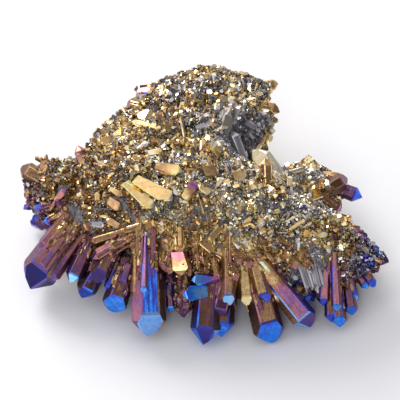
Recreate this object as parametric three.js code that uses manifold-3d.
// Aura druzy quartz: one cluster of quartz crystals grown together on a lobed crust, coated by
// vapour in gold, violet and blue. Large crystals spray outwards and down from its edge, and
// small ones cover its top. It was cut off flat where it left its rock, and rests on that cut.
// Millimetres, +Z up, the origin on the cut below the crown, the spray of the longest crystals
// towards -Y.
import * as THREE from "three";
import { mergeVertices } from "three/addons/utils/BufferGeometryUtils.js";
import Module from "manifold-3d";

const wasm = await Module();
wasm.setup();

// ---------------------------------------------------------------- driving dimensions
const CROWN_HEIGHT = 35; // the crust's highest level above the cut
const CROWN_AT = [-1.5, -4]; // the place on plan that the crystals radiate from
const DOME_POWER = 2.6; // how flat the crown stays before it turns down to the rim
const RIM_THICKNESS = 5; // of the crust at its edge
const UNDERSIDE = [0.95, 0.8]; // shares of the way out where the edge is one and two thicknesses down
const CUT_SHARE = 0.6; // the flat cut's width as a share of the crust's
const CREST_ROUGHNESS = 1.5; // height of the crust's ledges and lumps
const EDGE_CALM = 1.2; // the share of the way out by which the ledges have died away
const LEDGE_SPACING = 6; // from one lump of the crust to the next
const SPOKES = 38; // facets round the crust
const TOP_RINGS = 5; // facets from the crown to the rim

const QUARTZ_SLOPE = THREE.MathUtils.degToRad(51.8); // between a tip face's normal and the c-axis
const HEX = 6;
const SHAFT_TAPER = 0.9; // a shaft's width at its root as a share of its width at its shoulder
const SHAFT_DEPTH = 0.85; // across its other way, as a share of its width
const STOUT = 5.5; // width from which a crystal shows all six of its tip faces

const DRUZY_SPACING = 7.5; // between the middling crystals on the crust
const DRUZY_WIDTH = [4.2, 7.4]; // their narrowest and widest
const DRUZY_SHOWS = [0.32, 0.57]; // least and most of a width that stands clear of the crust
const DRUZY_UPRIGHT = -1.45; // their droop in radians at the crown, all but straight up
const DRUZY_LEAN = 1.2; // the droop gained from there to the rim
const DRUZY_REACH = 0.92; // how far out they grow, as a share of the way to the rim
const DRUZY_REACH_IN_NOTCH = 0.72; // and where the edge draws back
const DRUZY_GAP = 1.5; // kept clear of the large crystals
const ROW_GAP = 0.3; // kept between the rows round the rim and the large crystals
const LOWEST_TIP = 2.2; // of those rows, over what the cluster stands on
const LOWEST_ROOT = 6; // and of where they leave the crust

// The crust's edge on plan, and its height there: [x, y, z], anticlockwise from the left lobe.
const RIM = [
  [-52.8, 3, 18], [-49.6, -3, 16.5], [-43.3, -7.6, 17], [-38, -15, 16], [-25.5, -19, 18],
  [-12, -23.5, 17], [0, -25.5, 16], [12, -27, 15], [25, -28, 14], [35, -27, 13],
  [42, -26, 12.5], [49, -24, 12.5], [54.8, -19.3, 13.5], [50.2, -13.4, 15.5], [41.2, -6.2, 19],
  [43, 3, 19], [38.5, 10, 21.3], [33, 8.4, 22], [25.2, 5.7, 21.5], [20.2, 12.6, 23],
  [18, 17.5, 24], [17.4, 23.5, 25], [23, 29.6, 26], [22, 39, 27.2], [14, 42.6, 28.7],
  [6, 44.5, 29], [0.2, 45.3, 29], [-8.5, 42, 28], [-18.5, 36, 27], [-23, 29.5, 27],
  [-31, 21, 26], [-38, 8, 24.2], [-48.5, 9.9, 21.1], [-53, 9.5, 20.5],
];

// Bearings in radians, from and to: where the edge draws back, and where no rows grow on it.
const NOTCH = [0.3, 0.85];
const GAPS = [NOTCH, [3.06, 3.15], [-3.15, -2.84], [-0.47, -0.26]];

// Lumps and hollows of the crust: [x, y, radius, height], a hollow's height being negative.
const RELIEFS = [
  [14, 13, 9, -11], // the deep hollow with bare prisms
  [22, 6, 8, -8], // its way out to the notch
  [30, -26, 6, -5], // a broken pocket between the long crystals
  [-33, 1, 6, 3], // a rounded cushion of tiny crystals
  [-16, 12, 9, 1.5],
  [5, 34, 9, 2],
  [12, -10, 9, 1.5],
  [-46, 6, 5, 2],
  [34, 2, 6, 2],
  [46, -14, 5, 1.5],
];

// The large crystals: where each leaves the crust, where it ends, its width, and its turn in
// degrees about its own length.
const POINTS = [
  // the spray down the front, from left to right
  { root: [-36.8, -9.2, 18.4], tip: [-51.4, -22.9, 4.1], width: 13.9, turn: 20 },
  { root: [-34, -16.5, 15], tip: [-46, -19.5, 5], width: 4.5, turn: 0 },
  { root: [-32, -15, 19], tip: [-38.3, -25.2, 9.8], width: 6, turn: 12 },
  { root: [-24, -17.5, 21], tip: [-31, -27.5, 12.5], width: 6.5, turn: 30 },
  { root: [-28.5, -19.5, 14.5], tip: [-35.3, -26.5, 4.9], width: 7.6, turn: 5 },
  { root: [-21, -22, 16], tip: [-26.1, -32, 4.3], width: 8.6, turn: 25 },
  { root: [-15.6, -13.2, 25.3], tip: [-14.7, -40, 3], width: 11.6, turn: 30 },
  { root: [-15.9, -20.1, 25.7], tip: [-16.4, -32.9, 15.3], width: 2.8, turn: 0 },
  { root: [-18.6, -16.5, 24.4], tip: [-19, -31.5, 10.4], width: 3.6, turn: 15 },
  { root: [-9, -25.5, 14], tip: [-8.5, -33, 5.5], width: 3.4, turn: 20 },
  { root: [-5, -24, 17], tip: [-4.9, -34.8, 5.6], width: 6, turn: 10 },
  { root: [-5.8, -17.4, 27.6], tip: [-5.5, -26.7, 19.2], width: 6.3, turn: 26 },
  { root: [6.5, -23.5, 18], tip: [-3, -28, 13], width: 4.4, turn: 30 },
  { root: [6.5, -25, 14], tip: [-3, -28.5, 7.5], width: 5, turn: 0 },
  { root: [3.5, -22, 18], tip: [1.5, -41.3, 1.6], width: 11.3, turn: 24 },
  { root: [8.6, -24.5, 17.5], tip: [4.2, -37.5, 5], width: 9.4, turn: 8 },
  { root: [7.8, -25, 13], tip: [6.6, -39.4, 2.6], width: 8.2, turn: 10 },
  { root: [8, -18, 27], tip: [8.2, -35, 11.8], width: 5.5, turn: 30 },
  { root: [12.5, -23.5, 19.5], tip: [13.8, -34, 10.5], width: 5.2, turn: 0 },
  { root: [15.5, -25.5, 15], tip: [16.8, -33.5, 6.5], width: 4.2, turn: 20 },
  { root: [15, -22, 22.5], tip: [19.6, -34, 12], width: 6, turn: 26 },
  { root: [18, -24, 19.5], tip: [24.5, -33, 10], width: 5.2, turn: 5 },
  { root: [15.4, -24, 15], tip: [21.3, -41, 1.5], width: 10.8, turn: 28 },
  { root: [11, -20, 25], tip: [33, -36.5, 3.5], width: 8.6, turn: 12 },
  { root: [38, -25, 12.5], tip: [38.8, -35, 3.4], width: 4.6, turn: 20 },
  { root: [40, -24.5, 12], tip: [41.4, -36.2, 2.6], width: 5.5, turn: 12 },
  { root: [43, -22.5, 12.5], tip: [45, -32.6, 3.6], width: 4.6, turn: 40 },
  { root: [37.5, -17, 22], tip: [36, -32.5, 8], width: 4.6, turn: 30 },
  { root: [39, -17.5, 22.8], tip: [40.3, -34.3, 8], width: 3.8, turn: 8 },
  { root: [43.7, -23, 13], tip: [46.2, -29.3, 6], width: 3.6, turn: 18 },
  { root: [46, -15.8, 13.5], tip: [56.3, -19.2, 12.2], width: 6, turn: 10 },
  { root: [46.5, -19.5, 13], tip: [51.8, -25.6, 8.2], width: 4, turn: 32 },
  { root: [45, -20.5, 12.5], tip: [49.9, -26, 7.8], width: 3.6, turn: 4 },
  // the left lobe
  { root: [-43.3, -3.4, 20], tip: [-49.9, -3.4, 17.6], width: 3.6, turn: 47 },
  { root: [-40.6, -6.8, 19.4], tip: [-46.9, -7.6, 16.6], width: 3.6, turn: 43 },
  { root: [-37.8, -10.4, 18.9], tip: [-42.2, -10.4, 16.6], width: 3.2, turn: 47 },
  { root: [-40.5, -6, 18.5], tip: [-41.8, -2.2, 24.5], width: 4.8, turn: 12 },
  { root: [-42.5, 1.5, 21.5], tip: [-54.3, 10.2, 21.5], width: 6.5, turn: 25 },
  { root: [-34.5, 2.5, 28], tip: [-43.3, 7.6, 25.6], width: 4.4, turn: 10 },
  { root: [-34.5, 6, 27], tip: [-36.8, 11.2, 30.2], width: 4, turn: 30 },
  { root: [-14.6, -15.7, 26.6], tip: [-32.8, -17.1, 19], width: 4.6, turn: 24 },
  { root: [-17.3, -16.8, 24], tip: [-32, -22.8, 18], width: 5.2, turn: 23 },
  // the back lobe
  { root: [-16.6, 27, 29.6], tip: [-22.6, 30.8, 27.4], width: 4.8, turn: 2 },
  { root: [-11, 33, 26], tip: [-18, 34, 28.2], width: 5.4, turn: 30 },
  { root: [-11, 39.5, 26], tip: [-20.5, 37.8, 26], width: 3.2, turn: 0 },
  { root: [18.5, 39, 25.4], tip: [24.4, 42, 24.6], width: 3.8, turn: 30 },
  { root: [18, 29.8, 26.6], tip: [24.6, 28.5, 26], width: 5.6, turn: 10 },
  // the deep hollow and the notch beside it
  { root: [25, -2.5, 26.5], tip: [15.6, 5.4, 34.8], width: 8.4, turn: 10 },
  { root: [20, -8, 29], tip: [19.4, 1, 36], width: 4.2, turn: 20 },
  { root: [14.2, 8.5, 22.5], tip: [9.7, 17, 30], width: 4, turn: 0 },
  { root: [11.5, 31, 23], tip: [21, 20.6, 16.8], width: 6, turn: 28 },
  { root: [12.5, 35, 22], tip: [21, 28.6, 19], width: 4.2, turn: 12 },
  { root: [8.5, 6.5, 24], tip: [6.5, 14, 30.5], width: 3.8, turn: 15 },
  { root: [3.5, 3, 28], tip: [14.5, 7, 28], width: 5.4, turn: 30 },
  { root: [13.5, 4, 22], tip: [12.5, 9, 28], width: 4.8, turn: 5 },
  { root: [12, 22, 22], tip: [19.5, 13, 21], width: 5, turn: 22 },
  // the right lobe
  { root: [32, -2.5, 23.8], tip: [32.8, 9.8, 27.4], width: 7.2, turn: 25 },
  { root: [29, -3, 25.5], tip: [27.2, 5.8, 28], width: 3.4, turn: 10 },
  { root: [33, -4.5, 23.5], tip: [44.6, 5.2, 22.4], width: 6.6, turn: 30 },
  { root: [37, 4, 21.6], tip: [49, 1, 18], width: 5.6, turn: 5 },
  { root: [35.2, -4, 24.4], tip: [42.1, -4.7, 18.5], width: 4.4, turn: 39 },
  // crystals lying half sunk in the crown
  { root: [-22, -6.3, 32.5], tip: [-13.7, -14.2, 30.6], width: 5, turn: 56 },
  { root: [-18.2, -5, 33.2], tip: [-8.1, -13.2, 32.6], width: 5.6, turn: 36 },
  { root: [-12.9, -2.1, 35], tip: [-5.3, -4.9, 35.8], width: 4.6, turn: 33 },
  { root: [-4.7, -12.2, 32.7], tip: [-0.9, -9, 36], width: 4.8, turn: 26 },
  { root: [5.6, 3.9, 33], tip: [2.9, 4.6, 38.1], width: 4.4, turn: 19 },
  { root: [0.9, -5.1, 35.6], tip: [5.3, -3.5, 34.6], width: 4.8, turn: 13 },
  { root: [9.7, -6.1, 34.4], tip: [13.8, -4.3, 34], width: 4.4, turn: 6 },
  { root: [-1.2, -21.1, 24.8], tip: [5, -23.6, 22], width: 5.4, turn: 28 },
  { root: [-20.2, 18.3, 30.9], tip: [-12.8, 13.8, 34.4], width: 3.8, turn: 8 },
];

// ---------------------------------------------------------------- numbers that repeat exactly
// A number from 0 to 1 that is always the same for the same pair of whole numbers.
function chance(seed, salt) {
  const wave = Math.sin(seed * 12.9898 + salt * 78.233) * 43758.5453;
  return wave - Math.floor(wave);
}

// Smooth lumps from -1 to 1, one every unit of u and v.
function lumps(u, v) {
  const i = Math.floor(u);
  const j = Math.floor(v);
  const ease = (s) => s * s * (3 - 2 * s);
  const corner = (di, dj) => chance(i + di + 91, j + dj + 47);
  const a = THREE.MathUtils.lerp(corner(0, 0), corner(1, 0), ease(u - i));
  const b = THREE.MathUtils.lerp(corner(0, 1), corner(1, 1), ease(u - i));
  return 2 * THREE.MathUtils.lerp(a, b, ease(v - j)) - 1;
}

// ---------------------------------------------------------------- the crust
const rimByBearing = RIM.map(([x, y, z]) => ({
  x: x - CROWN_AT[0],
  y: y - CROWN_AT[1],
  z,
  bearing: Math.atan2(y - CROWN_AT[1], x - CROWN_AT[0]),
})).sort((a, b) => a.bearing - b.bearing);

// How far the crust reaches along a bearing from the crown, and how high its edge is there.
function rimAt(bearing) {
  const n = rimByBearing.length;
  let k = rimByBearing.findLastIndex((p) => p.bearing <= bearing);
  k = (k + n) % n;
  const a = rimByBearing[k];
  const b = rimByBearing[(k + 1) % n];
  const [dx, dy] = [b.x - a.x, b.y - a.y];
  const [c, s] = [Math.cos(bearing), Math.sin(bearing)];
  const reach = (a.x * dy - a.y * dx) / (c * dy - s * dx);
  const along = Math.hypot(c * reach - a.x, s * reach - a.y) / Math.hypot(dx, dy);
  return { reach, height: a.z + (b.z - a.z) * along };
}

// The crust's top at a place on plan, and that place's share of the way to the rim.
function crustTop(x, y) {
  const [u, v] = [x - CROWN_AT[0], y - CROWN_AT[1]];
  const edge = rimAt(Math.atan2(v, u));
  const share = Math.hypot(u, v) / edge.reach;
  const dome = 1 - Math.min(share, 1) ** DOME_POWER;
  let z = edge.height + (CROWN_HEIGHT - edge.height) * dome;
  for (const [cx, cy, radius, height] of RELIEFS) {
    const d = Math.hypot(x - cx, y - cy) / radius;
    if (d < 1) z += height * (1 - d * d) ** 2;
  }
  const ledge = CREST_ROUGHNESS * lumps(x / LEDGE_SPACING, y / LEDGE_SPACING);
  z += ledge * Math.min(1, 3 * (EDGE_CALM - share));
  return { z, share };
}

// The closed crust: rings of the top, the underside of the rim, and the flat cut. The sides
// come in steeply over the cut, so they are still a third of the way up just outside it.
function crustGeometry() {
  const rings = [];
  const ring = (share, heightOf) =>
    rings.push(
      Array.from({ length: SPOKES }, (_, k) => {
        const bearing = (k / SPOKES) * 2 * Math.PI - Math.PI;
        const { reach, height } = rimAt(bearing);
        const x = CROWN_AT[0] + share * reach * Math.cos(bearing);
        const y = CROWN_AT[1] + share * reach * Math.sin(bearing);
        return [x, y, heightOf(x, y, height)];
      }),
    );
  for (let i = 1; i <= TOP_RINGS; i++) ring(i / TOP_RINGS, (x, y) => crustTop(x, y).z);
  UNDERSIDE.forEach((share, i) => ring(share, (x, y, edge) => edge - (i + 1) * RIM_THICKNESS));
  ring(1.1 * CUT_SHARE, (x, y, edge) => 0.3 * edge);
  ring(CUT_SHARE, () => 0);

  const [cx, cy] = CROWN_AT;
  const places = [[cx, cy, crustTop(cx, cy + 0.01).z], ...rings.flat(), [cx, cy, 0]];
  const at = (i, k) => 1 + i * SPOKES + ((k + SPOKES) % SPOKES);
  const faces = [];
  for (let k = 0; k < SPOKES; k++) {
    faces.push(0, at(0, k), at(0, k + 1));
    for (let i = 0; i + 1 < rings.length; i++) {
      faces.push(at(i, k), at(i + 1, k), at(i + 1, k + 1));
      faces.push(at(i, k), at(i + 1, k + 1), at(i, k + 1));
    }
    faces.push(places.length - 1, at(rings.length - 1, k + 1), at(rings.length - 1, k));
  }
  return new THREE.BufferGeometry()
    .setAttribute("position", new THREE.Float32BufferAttribute(places.flat(), 3))
    .setIndex(faces);
}

// ---------------------------------------------------------------- solids
function solidOf(geometry) {
  const bare = geometry.clone();
  bare.deleteAttribute("normal");
  bare.deleteAttribute("uv");
  const merged = mergeVertices(bare, 1e-4);
  return new wasm.Manifold(
    new wasm.Mesh({
      numProp: 3,
      vertProperties: merged.attributes.position.array,
      triVerts: new Uint32Array(merged.index.array),
    }),
  );
}

function geometryOf(solid) {
  const mesh = solid.getMesh();
  return new THREE.BufferGeometry()
    .setAttribute("position", new THREE.BufferAttribute(mesh.vertProperties, 3))
    .setIndex(new THREE.BufferAttribute(mesh.triVerts, 1));
}

// How far beyond the tip a face's plane meets the axis, in half widths: the three large faces
// stop near the tip and the three small ones, further out, only clip the edges between them.
const largeFace = (luck) => THREE.MathUtils.lerp(-0.1, 0.15, luck);
const smallFace = (luck) => THREE.MathUtils.lerp(0.15, 0.45, luck);

// One quartz crystal: a six-sided shaft closed by six tip faces, three large and three small,
// each at quartz's own slope. The seed settles how far each face has grown.
function crystal({ root, tip, width, turn, tipFaces = HEX }, seed) {
  const foot = new THREE.Vector3(...root);
  const axis = new THREE.Vector3(...tip).sub(foot);
  const length = axis.length();
  const radius = width / 2;
  const upright = new THREE.Quaternion().setFromUnitVectors(
    new THREE.Vector3(0, 1, 0),
    axis.normalize(),
  );
  const spin = new THREE.Quaternion().setFromAxisAngle(axis, THREE.MathUtils.degToRad(turn));
  const place = new THREE.Matrix4().compose(
    foot,
    spin.multiply(upright),
    new THREE.Vector3(1, 1, SHAFT_DEPTH),
  );
  const shaft = new THREE.CylinderGeometry(radius, radius * SHAFT_TAPER, length + width, HEX, 1);
  shaft.translate(0, (length + width) / 2, 0).applyMatrix4(place);
  let solid = solidOf(shaft);
  for (let k = 0; k < HEX; k++) {
    if (k % 2 && tipFaces < HEX) continue;
    const around = ((k + 0.5) * 2 * Math.PI) / HEX;
    const growth = k % 2 ? smallFace(chance(seed, k)) : largeFace(chance(seed, k));
    const out = Math.sin(QUARTZ_SLOPE);
    const normal = new THREE.Vector3(
      out * Math.sin(around),
      Math.cos(QUARTZ_SLOPE),
      (out * Math.cos(around)) / SHAFT_DEPTH,
    ).normalize();
    const apex = new THREE.Vector3(0, length + growth * radius, 0).applyMatrix4(place);
    normal.applyQuaternion(spin);
    solid = solid.trimByPlane(normal.clone().negate().toArray(), -normal.dot(apex));
  }
  return solid;
}

// A small crystal: all it shows above the crust are three tip faces that meet almost square,
// so it is a block with one corner out.
function crystalCorner({ root, tip, width, turn }) {
  const apex = new THREE.Vector3(...tip);
  const axis = apex.clone().sub(new THREE.Vector3(...root)).normalize();
  const block = new THREE.BoxGeometry(width, width, width);
  const corner = new THREE.Vector3(1, 1, 1).normalize();
  block.applyQuaternion(new THREE.Quaternion().setFromUnitVectors(corner, axis));
  const spin = new THREE.Quaternion().setFromAxisAngle(axis, THREE.MathUtils.degToRad(turn));
  block.applyQuaternion(spin);
  const centre = apex.addScaledVector(axis, (-width * Math.sqrt(3)) / 2);
  return solidOf(block.translate(...centre.toArray()));
}

const ray = (bearing, droop) => [
  Math.cos(droop) * Math.cos(bearing),
  Math.cos(droop) * Math.sin(bearing),
  -Math.sin(droop),
];
const along = (from, way, distance) => from.map((v, i) => v + way[i] * distance);

// Whether a place is in or near one of the large crystals.
function takenByPoint(place, margin) {
  const p = new THREE.Vector3(...place);
  return POINTS.some(({ root, tip, width }) => {
    const line = new THREE.Line3(new THREE.Vector3(...root), new THREE.Vector3(...tip));
    const nearest = line.closestPointToPoint(p, true, new THREE.Vector3());
    return nearest.distanceTo(p) < width / 2 + margin;
  });
}

const between = (bearing, ...spans) => spans.some(([from, to]) => bearing > from && bearing < to);

// The middling crystals of the druzy, one in each cell of a jittered grid, leaning outwards.
function druzy() {
  const found = [];
  const gridHalf = 60;
  let seed = 500;
  for (let gx = -gridHalf; gx < gridHalf; gx += DRUZY_SPACING) {
    for (let gy = -gridHalf; gy < gridHalf; gy += DRUZY_SPACING) {
      seed += 1;
      const x = gx + (chance(seed, 1) - 0.5) * DRUZY_SPACING;
      const y = gy + (chance(seed, 2) - 0.5) * DRUZY_SPACING;
      const { z, share } = crustTop(x, y);
      const outwards = Math.atan2(y - CROWN_AT[1], x - CROWN_AT[0]);
      if (share > (between(outwards, NOTCH) ? DRUZY_REACH_IN_NOTCH : DRUZY_REACH)) continue;
      const width = THREE.MathUtils.lerp(...DRUZY_WIDTH, chance(seed, 3) ** 2);
      const bearing = outwards + 2.4 * (chance(seed, 4) - 0.5);
      const droop = DRUZY_UPRIGHT + DRUZY_LEAN * share * share + 0.9 * (chance(seed, 5) - 0.5);
      const way = ray(bearing, droop);
      const shows = THREE.MathUtils.lerp(...DRUZY_SHOWS, chance(seed, 6));
      const tip = along([x, y, z], way, width * shows);
      if (takenByPoint(tip, DRUZY_GAP)) continue;
      const root = along([x, y, z], way, -width);
      const grown = { root, tip, width, turn: 360 * chance(seed, 7), tipFaces: HEX / 2 };
      found.push(seed % 5 ? crystalCorner(grown) : crystal(grown, seed));
    }
  }
  return found;
}

// Rows of crystals round the rim, pointing out and down. Each row: how many, from which share
// of the crust's reach to which, its drop below the edge, its droop in degrees, its width.
// The chances below let each crystal stray a little from its place in the row.
const RIM_ROWS = [
  { count: 26, from: 0.86, to: 0.99, drop: 2, droop: 14, width: 5 },
  { count: 26, from: 0.74, to: 0.98, drop: 5, droop: 38, width: 6 },
  { count: 14, from: 0.68, to: 0.9, drop: 9, droop: 50, width: 7 },
];

function rimRows() {
  const found = [];
  let seed = 2000;
  const onPlan = (bearing, share) => {
    const reach = share * rimAt(bearing).reach;
    return [CROWN_AT[0] + reach * Math.cos(bearing), CROWN_AT[1] + reach * Math.sin(bearing)];
  };
  for (const row of RIM_ROWS) {
    for (let k = 0; k < row.count; k++) {
      seed += 1;
      const bearing = ((k + 0.6 * chance(seed, 1)) / row.count) * 2 * Math.PI - Math.PI;
      const veer = 0.16 * (chance(seed, 3) - 0.5);
      const foot = onPlan(bearing + veer, row.from - 0.04 * chance(seed, 2));
      const end = onPlan(bearing, row.to + 0.03 * chance(seed, 4));
      const droop = THREE.MathUtils.degToRad(row.droop + 16 * (chance(seed, 5) - 0.5));
      const level = Math.max(rimAt(bearing).height - row.drop, LOWEST_ROOT);
      const fall = Math.hypot(end[0] - foot[0], end[1] - foot[1]) * Math.tan(droop);
      const root = [...foot, level];
      const tip = [...end, Math.max(level - fall, LOWEST_TIP)];
      const width = row.width * (0.8 + 0.5 * chance(seed, 6));
      if (takenByPoint(tip, ROW_GAP) || between(bearing, ...GAPS)) continue;
      found.push(crystal({ root, tip, width, turn: 360 * chance(seed, 7), tipFaces: HEX / 2 }, seed));
    }
  }
  return found;
}

// ---------------------------------------------------------------- the cluster
function clusterSolid() {
  const points = POINTS.map((point, k) => {
    const tipFaces = point.width < STOUT ? HEX / 2 : HEX;
    return crystal({ ...point, tipFaces }, k);
  });
  const grown = [...points, ...druzy(), ...rimRows()];
  const whole = grown.reduce((sum, piece) => sum.add(piece), solidOf(crustGeometry()));
  const standing = whole.trimByPlane([0, 0, 1], 0);
  // Gaps sealed between crystals are filled: only the outer body is kept.
  return standing.decompose().sort((a, b) => b.volume() - a.volume())[0];
}

const coated = new THREE.MeshStandardMaterial({ color: 0xb08a3c, metalness: 0.9, roughness: 0.25 });
const cluster = new THREE.Mesh(geometryOf(clusterSolid()), coated);
cluster.name = "quartz_cluster";

const part = new THREE.Group();
part.add(cluster);
export default part;
